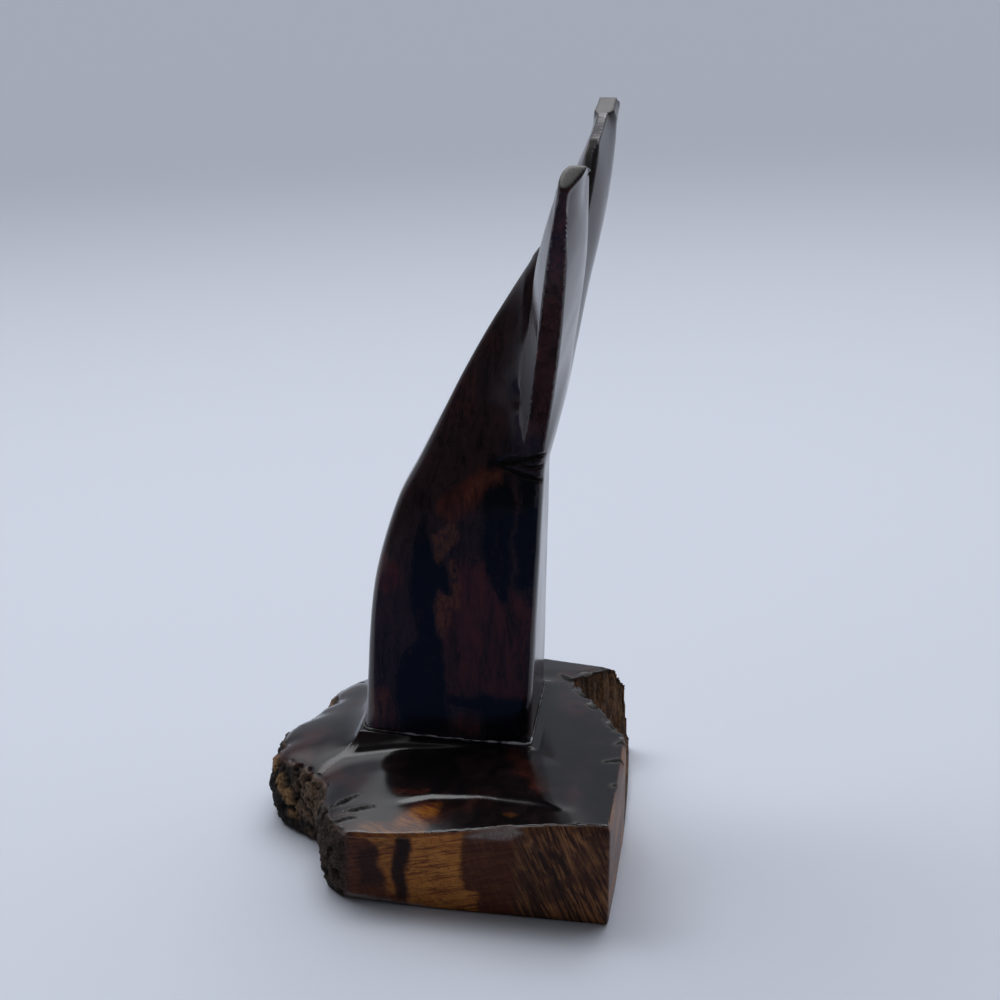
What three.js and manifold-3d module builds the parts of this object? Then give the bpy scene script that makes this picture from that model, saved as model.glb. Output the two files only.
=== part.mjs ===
// A carved wooden whale tail set on a slab of burl wood. Millimetres, +Z up.
// The flukes spread along X and the keel faces -Y.
// The origin is on the table, under the middle of the tail's foot.
import * as THREE from "three";
import { mergeVertices } from "three/addons/utils/BufferGeometryUtils.js";
import Module from "manifold-3d";

const wasm = await Module();
wasm.setup();

// The slab
const SEAT_HEIGHT = 23.7; // table to the seat of the tail
const LIVE_HEIGHT = 16.8; // table to the top of the live edge
const SIDE_HEIGHT = 23.8; // table to the top of the sawn side
const FAR_HEIGHT = 22; // table to the top of the far end
const END_REACH = 51.3; // foot's middle to the sawn end at +X
const END_SKEW = 2.3; // degrees that the sawn end is off square
const END_START = -16.5; // Y where the sawn end meets the live edge
const SIDE_REACH = 40.5; // foot's middle to the ends of the sawn side at +Y
const SIDE_BOW = 1.2; // how far that side bows out between them
const FAR_CORNER = -29.7; // X where the sawn side meets the far end
const FAR_REACH = 36.5; // foot's middle to the far end at -X
const FAR_START = 10; // Y where the far end meets the live edge
const SAWN_ROUND = 1; // rounding of the sawn faces' top edge
const SAWN_BREAK = 0.5; // broken lower edge of the sawn faces
const BARK_SHOULDER = 3.2; // how far the live edge falls in at the top
const BARK_UNDERCUT = 1.6; // how far it falls in at the table
const SEAT_MARGIN = 0.8; // flat left round the foot before the slab falls away
const COVE_SHARE = 0.5; // share of the fall that lies close to the foot

// X and Y along the live edge, from the far end to the sawn end
const LIVE_EDGE = [
  [-38.5, -3], [-36.5, -16], [-32, -26], [-25, -33], [-15, -36], [-6.5, -38.5], [1, -41.6], [9, -42.8],
  [16.5, -41.3], [21.5, -36.8], [26.5, -30.8], [32, -27], [39, -25], [45, -22.3],
];

// Lumps and hollows of the live edge: share of its length, share of its height,
// half length and half height as shares, and how far out they stand
const BARK_LUMPS = [
  { along: 0.11, rise: 0.62, long: 0.035, tall: 0.32, out: 1.3 },
  { along: 0.19, rise: 0.4, long: 0.03, tall: 0.35, out: -1.7 },
  { along: 0.27, rise: 0.7, long: 0.035, tall: 0.3, out: 1.2 },
  { along: 0.345, rise: 0.45, long: 0.028, tall: 0.35, out: -1.6 },
  { along: 0.4, rise: 0.65, long: 0.025, tall: 0.3, out: 1.1 },
  { along: 0.445, rise: 0.95, long: 0.014, tall: 0.35, out: -2.4 },
  { along: 0.5, rise: 0.3, long: 0.03, tall: 0.35, out: -1.5 },
  { along: 0.52, rise: 1, long: 0.012, tall: 0.3, out: -1.6 },
  { along: 0.575, rise: 0.7, long: 0.03, tall: 0.35, out: 0.9 },
  { along: 0.64, rise: 1, long: 0.012, tall: 0.25, out: -1.8 },
  { along: 0.675, rise: 0.7, long: 0.022, tall: 0.4, out: 0.6 },
  { along: 0.715, rise: 0.15, long: 0.022, tall: 0.25, out: 0.9 },
  { along: 0.752, rise: 0.62, long: 0.024, tall: 0.3, out: -1.9 },
  { along: 0.815, rise: 0.45, long: 0.018, tall: 0.6, out: -1.9 },
  { along: 0.868, rise: 0.72, long: 0.022, tall: 0.3, out: 1.1 },
  { along: 0.915, rise: 0.45, long: 0.016, tall: 0.25, out: -1.4 },
  { along: 0.95, rise: 0.3, long: 0.016, tall: 0.2, out: 1.6 },
  { along: 0.955, rise: 0.8, long: 0.016, tall: 0.2, out: -1.1 },
];

// The split-out hollow at the far corner
const SPLIT_FLOOR = 3; // wood left under it
const SPLIT_APEX = [-21, 26]; // its inner end at the top
const SPLIT_RIM = [13, 41.5]; // where its rim meets the sawn side
const SPLIT_SLOPE = 3; // how far its walls close in at the floor
const SPLIT_STEEP = 16.5; // height up to which its walls are steep

// The tail
const TAIL_HEIGHT = 137.2; // foot to fluke tips
const FLUKE_SPAN = 104.8; // tip to tip
const FOOT_DEPTH = 39.6; // along Y
const FOOT_FRONT_WIDTH = 28;
const FOOT_BACK_WIDTH = 34;
const BACK_LEAN = 1.6; // degrees that the back face leans to +Y
const FRONT_ROUND = 3.4; // rounding of the two front edges
const BACK_ROUND = 1.5; // rounding of the two back edges
const SIDE_CROWN = 0.7; // how far the side faces bulge

// Slices up the stock: share of the tail's height, how far the front has gone back
// as a share of the foot's depth, and the front and back widths as shares of the foot's
const STATIONS = [
  { rise: 0, setBack: 0, frontWidth: 1, backWidth: 1 },
  { rise: 0.248, setBack: 0.061, frontWidth: 0.857, backWidth: 0.794 },
  { rise: 0.394, setBack: 0.192, frontWidth: 0.657, backWidth: 0.641 },
  { rise: 0.466, setBack: 0.321, frontWidth: 0.493, backWidth: 0.535 },
  { rise: 0.656, setBack: 0.652, frontWidth: 0.25, backWidth: 0.382 },
  { rise: 0.787, setBack: 0.927, frontWidth: 0.171, backWidth: 0.324 },
  { rise: 0.853, setBack: 1.086, frontWidth: 0.121, backWidth: 0.265 },
];

// One fluke lobe seen from the front, from inside the stock to the tip:
// shares of the half span and of the height
const LEADING_EDGE = [
  [0, 0.335], [0.137, 0.423], [0.172, 0.496], [0.277, 0.587], [0.458, 0.671],
  [0.649, 0.751], [0.83, 0.845], [0.939, 0.913], [1, 0.97],
];
const TRAILING_EDGE = [[0, 0.815], [0.12, 0.835], [0.33, 0.925], [0.45, 0.952], [0.68, 0.972], [0.92, 1]];
// The lobes' middle seen from the side: share of the height, and Y as a share of the foot's depth
const FLUKE_MIDDLE = [[0.335, 0.374], [0.496, 0.482], [0.729, 0.624], [1, 0.752]];
const LEADING_THICKNESS = 4.7; // flat cut along the leading edge
const TRAILING_THICKNESS = 2.2; // flat cut along the trailing edge
const TIP_THICKNESS = 2.2; // leading cut at the tip
const FACET_START = 0.86; // share of the lobe's length where the facet at its tip starts
const FACET_STEP = 0.02; // share over which it breaks in
const FACET_CUT = 0.28; // share of the lobe's width that it takes off
const BACK_SWELL = 2.9; // how far the back face swells past the edges at the root
const FRONT_SWELL = 4.4; // how far the front face does
const SWELL_CURVE = 1.3; // 1 gives two flat faces that meet in a ridge, 2 an even curve
// The two lobes: which way they point, how far their back and front faces swell at the tip,
// and how far back their leading and trailing edges are carved there
const LOBES = {
  right: { side: 1, backTip: 1.4, frontTip: 1.8, leadBack: 0, trailBack: 2 },
  left: { side: -1, backTip: 1.8, frontTip: 0.9, leadBack: 2, trailBack: 0.4 },
};
const FLUKE_TILT = 1.2; // degrees by which the lobe at -X is carved higher than the other
const NOTCH_RISE = 0.8; // share of the height at the bottom of the middle notch
const NOTCH_ANGLE = 84; // degrees between its sides

// The hidden joint
const GLUE_GAP = 0.3; // foot to seat
const DOWEL_DIAMETER = 8;
const DOWEL_LENGTH = 36;
const DOWEL_DEPTH = 15; // how much of it is in the slab
const DOWEL_INSET = 10.8; // front or back edge of the foot to a dowel's middle
const DOWEL_CHAMFER = 0.8;
const BORE_CLEARANCE = 0.3; // round the dowel
const BORE_RELIEF = 1; // past each end of it

const rad = THREE.MathUtils.degToRad;
const mix = THREE.MathUtils.lerp;
const ease = THREE.MathUtils.smoothstep;

// A smooth line through [place, value] points, as a function of the place
function smoothLine(points) {
  const last = points.length - 1;
  const slopes = points.map((_, k) => {
    const before = points[Math.max(k - 1, 0)];
    const after = points[Math.min(k + 1, last)];
    return (after[1] - before[1]) / (after[0] - before[0]);
  });
  return (place) => {
    const k = THREE.MathUtils.clamp(points.findLastIndex((p) => p[0] <= place), 0, last - 1);
    const [from, start] = points[k];
    const [to, end] = points[k + 1];
    const length = to - from;
    const t = (place - from) / length;
    const out = t * (1 - t) * (1 - t) * length * slopes[k];
    const back = t * t * (1 - t) * length * slopes[k + 1];
    return mix(start, end, ease(t, 0, 1)) + out - back;
  };
}

const flukeMiddle = smoothLine(FLUKE_MIDDLE.map(([rise, y]) => [rise * TAIL_HEIGHT, y * FOOT_DEPTH]));

// An edge of a lobe, drawn out to the tail's span and height
function flukeEdge(points) {
  return new THREE.SplineCurve(
    points.map(([out, rise]) => new THREE.Vector2((out * FLUKE_SPAN) / 2, rise * TAIL_HEIGHT)),
  );
}

// Skins closed rings of equal length, counter-clockwise about the way they run, and fans both ends shut
function loft(rings) {
  const count = rings[0].length;
  const positions = rings.flat().flatMap((p) => p.toArray());
  const index = [];
  for (let r = 0; r + 1 < rings.length; r += 1) {
    for (let k = 0; k < count; k += 1) {
      const a = r * count + k;
      const b = r * count + ((k + 1) % count);
      index.push(a, b, b + count, a, b + count, a + count);
    }
  }
  for (const r of [0, rings.length - 1]) {
    const middle = positions.length / 3;
    const sum = rings[r].reduce((total, p) => total.add(p), new THREE.Vector3());
    positions.push(...sum.divideScalar(count).toArray());
    for (let k = 0; k < count; k += 1) {
      const a = r * count + k;
      const b = r * count + ((k + 1) % count);
      index.push(middle, ...(r === 0 ? [b, a] : [a, b]));
    }
  }
  const geometry = new THREE.BufferGeometry();
  geometry.setAttribute("position", new THREE.Float32BufferAttribute(positions, 3));
  geometry.setIndex(index);
  return geometry;
}

function toSolid(geometry) {
  const bare = geometry.clone();
  bare.deleteAttribute("normal");
  bare.deleteAttribute("uv");
  const welded = mergeVertices(bare, 1e-4);
  const vertProperties = new Float32Array(welded.attributes.position.array);
  const triVerts = new Uint32Array(welded.index.array);
  return new wasm.Manifold(new wasm.Mesh({ numProp: 3, vertProperties, triVerts }));
}

function toGeometry(solid) {
  const { vertProperties, triVerts } = solid.getMesh();
  const geometry = new THREE.BufferGeometry();
  geometry.setAttribute("position", new THREE.Float32BufferAttribute(vertProperties, 3));
  geometry.setIndex([...triVerts]);
  geometry.computeVertexNormals();
  return geometry;
}

// A round bar along Z with chamfered ends, from low to high
function bar(diameter, low, high, chamfer) {
  const circle = new THREE.Shape().absarc(0, 0, diameter / 2 - chamfer, 0, 2 * Math.PI);
  const geometry = new THREE.ExtrudeGeometry(circle, {
    depth: high - low - 2 * chamfer,
    curveSegments: 16,
    bevelEnabled: chamfer > 0,
    bevelSize: chamfer,
    bevelThickness: chamfer,
    bevelSegments: 1,
  });
  return geometry.translate(0, 0, low + chamfer);
}

const dowelPlaces = [
  ["dowel_front", DOWEL_INSET - FOOT_DEPTH / 2],
  ["dowel_rear", FOOT_DEPTH / 2 - DOWEL_INSET],
];
const dowelLow = SEAT_HEIGHT - DOWEL_DEPTH;
const dowelHigh = dowelLow + DOWEL_LENGTH;
const boreDiameter = DOWEL_DIAMETER + 2 * BORE_CLEARANCE;
const footHeight = SEAT_HEIGHT + GLUE_GAP;

function drill(solid) {
  let drilled = solid;
  for (const [, y] of dowelPlaces) {
    const bore = bar(boreDiameter, dowelLow - BORE_RELIEF, dowelHigh + BORE_RELIEF, 0);
    drilled = drilled.subtract(toSolid(bore.translate(0, y, 0)));
  }
  return drilled;
}

// Corners of the tail's foot, counter-clockwise from above, moved out by a margin
function footCorners(margin) {
  const front = -FOOT_DEPTH / 2 - margin;
  const back = FOOT_DEPTH / 2 + margin;
  const frontHalf = FOOT_FRONT_WIDTH / 2 + margin;
  const backHalf = FOOT_BACK_WIDTH / 2 + margin;
  return [[frontHalf, front], [backHalf, back], [-backHalf, back], [-frontHalf, front]].map(
    ([x, y]) => new THREE.Vector2(x, y),
  );
}

// One slice of the stock: four rounded corners with crowned sides between the front and back pairs
function stockRing(height, line) {
  const front = -FOOT_DEPTH / 2 + line.setBack(height) * FOOT_DEPTH;
  const back = Math.max(FOOT_DEPTH / 2 + height * Math.tan(rad(BACK_LEAN)), flukeMiddle(height));
  const frontHalf = (line.frontWidth(height) * FOOT_FRONT_WIDTH) / 2;
  const backHalf = (line.backWidth(height) * FOOT_BACK_WIDTH) / 2;
  const corners = [
    { x: frontHalf, y: front, round: Math.min(FRONT_ROUND, 0.8 * frontHalf), crown: SIDE_CROWN },
    { x: backHalf, y: back, round: BACK_ROUND, crown: 0 },
    { x: -backHalf, y: back, round: BACK_ROUND, crown: SIDE_CROWN },
    { x: -frontHalf, y: front, round: Math.min(FRONT_ROUND, 0.8 * frontHalf), crown: 0 },
  ];
  const arcSteps = 4;
  const sideSteps = 5;
  const points = [];
  corners.forEach((corner, k) => {
    const here = new THREE.Vector2(corner.x, corner.y);
    const before = corners[(k + 3) % 4];
    const after = corners[(k + 1) % 4];
    const toBefore = new THREE.Vector2(before.x, before.y).sub(here).normalize();
    const toAfter = new THREE.Vector2(after.x, after.y).sub(here).normalize();
    const start = here.clone().addScaledVector(toBefore, corner.round);
    const end = here.clone().addScaledVector(toAfter, corner.round);
    const arc = new THREE.QuadraticBezierCurve(start, here, end);
    points.push(...arc.getPoints(arcSteps));
    const next = new THREE.Vector2(after.x, after.y).addScaledVector(toAfter, -after.round);
    const outward = new THREE.Vector2(toAfter.y, -toAfter.x);
    for (let s = 1; s < sideSteps; s += 1) {
      const t = s / sideSteps;
      points.push(end.clone().lerp(next, t).addScaledVector(outward, 4 * t * (1 - t) * corner.crown));
    }
  });
  return points.map((p) => new THREE.Vector3(p.x, p.y, height));
}

function makeStock() {
  const line = {};
  for (const key of ["setBack", "frontWidth", "backWidth"]) {
    line[key] = smoothLine(STATIONS.map((s) => [s.rise * TAIL_HEIGHT, s[key]]));
  }
  const top = STATIONS.at(-1).rise * TAIL_HEIGHT;
  const steps = 40;
  const rings = [];
  for (let k = 0; k <= steps; k += 1) {
    rings.push(stockRing((top * k) / steps, line));
  }
  return loft(rings);
}

// One slice across a lobe, from the leading edge up its back face and down its front face
function flukeRing(share, lobe, edges) {
  const low = edges.leading.getPoint(share);
  const high = edges.trailing.getPoint(share);
  const leading = mix(LEADING_THICKNESS, TIP_THICKNESS, ease(share, 0.6, 1)) / 2;
  const trailing = TRAILING_THICKNESS / 2;
  const frontSwell = mix(FRONT_SWELL, lobe.frontTip, ease(share, 0.5, 1));
  const backSwell = mix(BACK_SWELL, lobe.backTip, ease(share, 0.4, 0.9));
  const twist = ease(share, 0.3, 0.8);
  const kept = 1 - FACET_CUT * ease(share, FACET_START, FACET_START + FACET_STEP);
  const steps = 12;
  const back = [];
  const front = [];
  for (let k = 0; k <= steps; k += 1) {
    const t = (1 - Math.cos((Math.PI * k) / steps)) / 2;
    const bulge = 1 - Math.abs(2 * t * kept - 1) ** SWELL_CURVE;
    const half = mix(leading, trailing, t * kept);
    const x = lobe.side * mix(low.x, high.x, t);
    const z = mix(low.y, high.y, t);
    const y = flukeMiddle(z) + twist * mix(lobe.leadBack, lobe.trailBack, t);
    back.push(new THREE.Vector3(x, y + half + backSwell * bulge, z));
    front.unshift(new THREE.Vector3(x, y - half - frontSwell * bulge, z));
  }
  return [...back, ...front];
}

function makeFlukes() {
  const edges = { leading: flukeEdge(LEADING_EDGE), trailing: flukeEdge(TRAILING_EDGE) };
  const steps = 28;
  const shares = [FACET_START, FACET_START + FACET_STEP];
  for (let k = 1; k <= steps; k += 1) {
    shares.push(k / steps);
  }
  shares.sort((a, b) => a - b);
  const right = shares.map((share) => flukeRing(share, LOBES.right, edges));
  const left = shares.map((share) => flukeRing(share, LOBES.left, edges)).reverse();
  const middle = NOTCH_RISE * TAIL_HEIGHT;
  const geometry = loft([...left, flukeRing(0, LOBES.right, edges), ...right]).translate(0, 0, -middle);
  return geometry.rotateY(rad(FLUKE_TILT)).translate(0, 0, middle);
}

// The V between the lobes, cut right through along Y
function makeNotch() {
  const low = NOTCH_RISE * TAIL_HEIGHT;
  const rise = FOOT_DEPTH;
  const half = rise * Math.tan(rad(NOTCH_ANGLE / 2));
  const shape = new THREE.Shape([
    new THREE.Vector2(0, low),
    new THREE.Vector2(half, low + rise),
    new THREE.Vector2(-half, low + rise),
  ]);
  const geometry = new THREE.ExtrudeGeometry(shape, { depth: 4 * FOOT_DEPTH, bevelEnabled: false });
  return geometry.rotateX(Math.PI / 2).translate(0, 2 * FOOT_DEPTH, 0);
}

function makeTail() {
  const carved = toSolid(makeStock()).add(toSolid(makeFlukes())).subtract(toSolid(makeNotch()));
  return toGeometry(drill(carved.translate([0, 0, footHeight])));
}

// The slab's plan, counter-clockwise from above, with how much each point belongs to the live edge
function slabPlan() {
  const endX = END_REACH - (SIDE_REACH - END_START) * Math.tan(rad(END_SKEW));
  const nearCorner = new THREE.Vector2(END_REACH, SIDE_REACH);
  const farCorner = new THREE.Vector2(FAR_CORNER, SIDE_REACH);
  const bow = nearCorner.clone().lerp(farCorner, 0.5).add(new THREE.Vector2(0, 2 * SIDE_BOW));
  const liveStart = new THREE.Vector2(-FAR_REACH, FAR_START);
  const liveEnd = new THREE.Vector2(endX, END_START);
  const live = [liveStart, ...LIVE_EDGE.map(([x, y]) => new THREE.Vector2(x, y)), liveEnd];
  const runs = [
    { curve: new THREE.QuadraticBezierCurve(nearCorner, bow, farCorner), steps: 18, bark: () => 0 },
    { curve: new THREE.LineCurve(farCorner, liveStart), steps: 8, bark: () => 0 },
    { curve: new THREE.SplineCurve(live), steps: 90, bark: (t) => Math.min(1, 12 * t, 12 * (1 - t)) },
    { curve: new THREE.LineCurve(liveEnd, nearCorner), steps: 14, bark: () => 0 },
  ];
  const plan = [];
  for (const { curve, steps, bark } of runs) {
    for (let k = 0; k < steps; k += 1) {
      plan.push({ point: curve.getPointAt(k / steps), bark: bark(k / steps), along: k / steps });
    }
  }
  return plan;
}

// Where a ray from the foot's middle leaves the foot's outline
function leaveFoot(toward) {
  const corners = footCorners(SEAT_MARGIN);
  let reach = Infinity;
  corners.forEach((a, k) => {
    const b = corners[(k + 1) % 4];
    const side = b.clone().sub(a);
    const across = toward.cross(side);
    const far = a.cross(side) / across;
    if (across > 0) {
      reach = Math.min(reach, far);
    }
  });
  return toward.clone().multiplyScalar(reach);
}

function makeSlab() {
  const plan = slabPlan();
  const wall = [
    { share: 0, sawn: SAWN_BREAK, bark: BARK_UNDERCUT },
    { share: SAWN_BREAK / LIVE_HEIGHT, sawn: 0, bark: 0.85 * BARK_UNDERCUT },
    { share: 0.15, sawn: 0, bark: 0.5 * BARK_UNDERCUT },
    { share: 0.3, sawn: 0, bark: 0.2 * BARK_UNDERCUT },
    { share: 0.42, sawn: 0, bark: 0.05 * BARK_UNDERCUT },
    { share: 0.55, sawn: 0, bark: 0 },
    { share: 0.68, sawn: 0, bark: 0.1 * BARK_SHOULDER },
    { share: 0.8, sawn: 0, bark: 0.25 * BARK_SHOULDER },
    { share: 1 - SAWN_ROUND / LIVE_HEIGHT, sawn: 0, bark: 0.65 * BARK_SHOULDER },
    { share: 1, sawn: SAWN_ROUND, bark: BARK_SHOULDER },
  ];
  const edgeHeight = ({ point }) => {
    const toSide = ease(point.y, END_START, SIDE_REACH + SIDE_BOW);
    const toFar = ease(-point.x, 0, FAR_REACH) * ease(point.y, END_START, FAR_START);
    return mix(mix(LIVE_HEIGHT, SIDE_HEIGHT, toSide), FAR_HEIGHT, toFar);
  };
  const lump = (p, rise) => BARK_LUMPS.reduce((total, { along, rise: middle, long, tall, out }) => {
    const away = ((p.along - along) / long) ** 2 + ((rise - middle) / tall) ** 2;
    return total + p.bark * out * Math.exp(-away);
  }, 0);
  const inset = (p, sawn, bark, out) => {
    const by = mix(sawn, bark, p.bark) - out;
    return p.point.clone().setLength(p.point.length() - by);
  };
  const rings = wall.map((step) => plan.map((p) => {
    const place = inset(p, step.sawn, step.bark, lump(p, step.share));
    return new THREE.Vector3(place.x, place.y, step.share * edgeHeight(p));
  }));
  for (const t of [0.88, 0.74, 0.6, 0.46, 0.33, 0.22, 0.13, 0.06, 0]) {
    const fall = COVE_SHARE * (1 - t) ** 5 + (1 - COVE_SHARE) * (1 - t * t);
    rings.push(plan.map((p) => {
      const rim = inset(p, SAWN_ROUND, BARK_SHOULDER, lump(p, 1) * t ** 3);
      const place = leaveFoot(p.point).lerp(rim, t);
      return new THREE.Vector3(place.x, place.y, mix(edgeHeight(p), SEAT_HEIGHT, fall));
    }));
  }
  return loft(rings);
}

// The block taken out by the split, wider at the top than at its floor
function makeSplit() {
  const apex = new THREE.Vector2(...SPLIT_APEX);
  const rim = new THREE.Vector2(...SPLIT_RIM);
  const outside = 2 * SIDE_REACH;
  const ring = (height, close) => {
    const inner = apex.clone().add(new THREE.Vector2(close, close));
    return [
      new THREE.Vector3(inner.x, inner.y, height),
      new THREE.Vector3(rim.x - close, rim.y + 1, height),
      new THREE.Vector3(rim.x - close, outside, height),
      new THREE.Vector3(inner.x - (outside - inner.y), outside, height),
    ];
  };
  const steep = ring(SPLIT_STEEP, 0.8 * SPLIT_SLOPE);
  return loft([ring(SPLIT_FLOOR, SPLIT_SLOPE), steep, ring(SEAT_HEIGHT, 0), ring(2 * SEAT_HEIGHT, 0)]);
}

function makeBase() {
  return toGeometry(drill(toSolid(makeSlab()).subtract(toSolid(makeSplit()))));
}

function makeDowel(y) {
  const geometry = bar(DOWEL_DIAMETER, dowelLow, dowelHigh, DOWEL_CHAMFER).translate(0, y, 0);
  return toGeometry(toSolid(geometry));
}

function piece(name, geometry, color, roughness) {
  const material = new THREE.MeshStandardMaterial({ color, roughness, metalness: 0 });
  const mesh = new THREE.Mesh(geometry, material);
  mesh.name = name;
  return mesh;
}

const part = new THREE.Group();
part.name = "whale_tail_carving";
part.add(piece("whale_tail", makeTail(), "#2a1812", 0.25));
part.add(piece("base", makeBase(), "#33211a", 0.3));
for (const [name, y] of dowelPlaces) {
  part.add(piece(name, makeDowel(y), "#b98d5c", 0.7));
}

export default part;
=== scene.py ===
"""Looks for the carved whale tail: hand-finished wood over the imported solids, in metres, +Z up."""
import math

import bmesh
import bpy
import numpy as np
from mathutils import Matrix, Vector, kdtree, noise
from mathutils.bvhtree import BVHTree


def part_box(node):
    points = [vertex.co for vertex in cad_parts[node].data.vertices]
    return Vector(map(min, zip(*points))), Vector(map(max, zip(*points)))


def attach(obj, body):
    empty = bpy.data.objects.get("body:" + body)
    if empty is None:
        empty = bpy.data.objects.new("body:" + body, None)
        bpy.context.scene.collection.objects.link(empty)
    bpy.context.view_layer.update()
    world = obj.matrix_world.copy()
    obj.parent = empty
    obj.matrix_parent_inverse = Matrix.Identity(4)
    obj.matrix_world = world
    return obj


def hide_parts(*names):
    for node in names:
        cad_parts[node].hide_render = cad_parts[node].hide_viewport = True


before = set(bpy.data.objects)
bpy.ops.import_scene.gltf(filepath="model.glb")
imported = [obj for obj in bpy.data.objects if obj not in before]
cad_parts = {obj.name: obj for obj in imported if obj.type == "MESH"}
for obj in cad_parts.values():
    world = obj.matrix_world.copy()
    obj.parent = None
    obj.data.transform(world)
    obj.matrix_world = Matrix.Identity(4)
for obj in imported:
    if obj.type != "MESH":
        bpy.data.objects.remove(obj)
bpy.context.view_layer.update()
scene = bpy.context.scene
scene.view_settings.view_transform = "Standard"

# Sizes in millimetres, in the row's frame
MM = 0.001
WELD = 0.001  # points closer than this are one
VOXEL = 0.5  # mesh size of the visible pieces
EDGE_STEP = 0.1  # between points along a sharp edge
SNAP_SHARE = 0.4  # share of a voxel within which a point goes to a sharp edge
CREASE = math.radians(32)  # least angle of a sharp edge
SOFT_FROM, SOFT_FULL = 0.3, 1.6  # distances from a sharp edge where smoothing starts and is full
RELAX = 0.6  # share of the way to its neighbours' mean that one smoothing step moves a point
EDGE_EASE = 0.6  # weight of the step that eases the sharp edges too
SEAT = 23.7  # top of the slab under the tail
FOOT = 24.0  # underside of the tail
FOOT_FRONT, FOOT_BACK = -19.8, 19.8  # the foot's ends along Y
FOOT_FRONT_HALF, FOOT_BACK_HALF = 14.0, 17.0  # half its width there


def ramp(value, low, high):
    """0 below low, 1 above high, and a smooth step between them."""
    t = np.clip((value - low) / (high - low), 0, 1)
    return t * t * (3 - 2 * t)


def grain(points, size, octaves=2, seed=0):
    """Smooth noise, about -1 to 1, with lumps of the given size."""
    scaled = points / np.asarray(size, float) + 13.7 * seed
    return np.array([noise.fractal(p, 1.0, 2.0, octaves) for p in scaled.tolist()])


def spot(points, centre, reach):
    """1 at the centre, falling smoothly to 0 at an ellipsoid's surface; a reach of 0 leaves that axis out."""
    total = np.zeros(len(points))
    for axis in range(3):
        if reach[axis]:
            total += ((points[:, axis] - centre[axis]) / reach[axis]) ** 2
    return 1 - ramp(np.sqrt(total), 0.55, 1)


def along(points, start, end):
    """Share along a line, and the distance from it."""
    start = np.asarray(start, float)
    line = np.asarray(end, float) - start
    share = np.clip((points - start) @ line / (line @ line), 0, 1)
    return share, np.linalg.norm(points - start - share[:, None] * line, axis=1)


def within(points, outline, soft):
    """1 inside an outline given as rows of height, least Y and greatest Y, softened at its border."""
    heights, left, right = (np.array(column, float) for column in zip(*sorted(outline)))
    y, z = points[:, 1], points[:, 2]
    inside = np.minimum(y - np.interp(z, heights, left), np.interp(z, heights, right) - y)
    inside = np.minimum(inside, np.minimum(z - heights[0], heights[-1] - z))
    return ramp(inside, -soft, soft)


def warp(points, size, reach, seed):
    """Points pushed about by noise, for edges that wander."""
    return points + reach * np.stack([grain(points, size, 3, seed + k) for k in range(3)], 1)


def crease_points(work):
    """Points close together along a solid's sharp outer edges."""
    points = []
    for edge in work.edges:
        if len(edge.link_faces) == 2 and edge.calc_face_angle_signed() > CREASE:
            start, end = (corner.co for corner in edge.verts)
            count = math.ceil((end - start).length / (EDGE_STEP * MM))
            points += [start.lerp(end, k / count) for k in range(count)]
    return points


def tree_of(points):
    """A search tree that finds the nearest of some points."""
    tree = kdtree.KDTree(len(points))
    for k, point in enumerate(points):
        tree.insert(point, k)
    tree.balance()
    return tree


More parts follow.
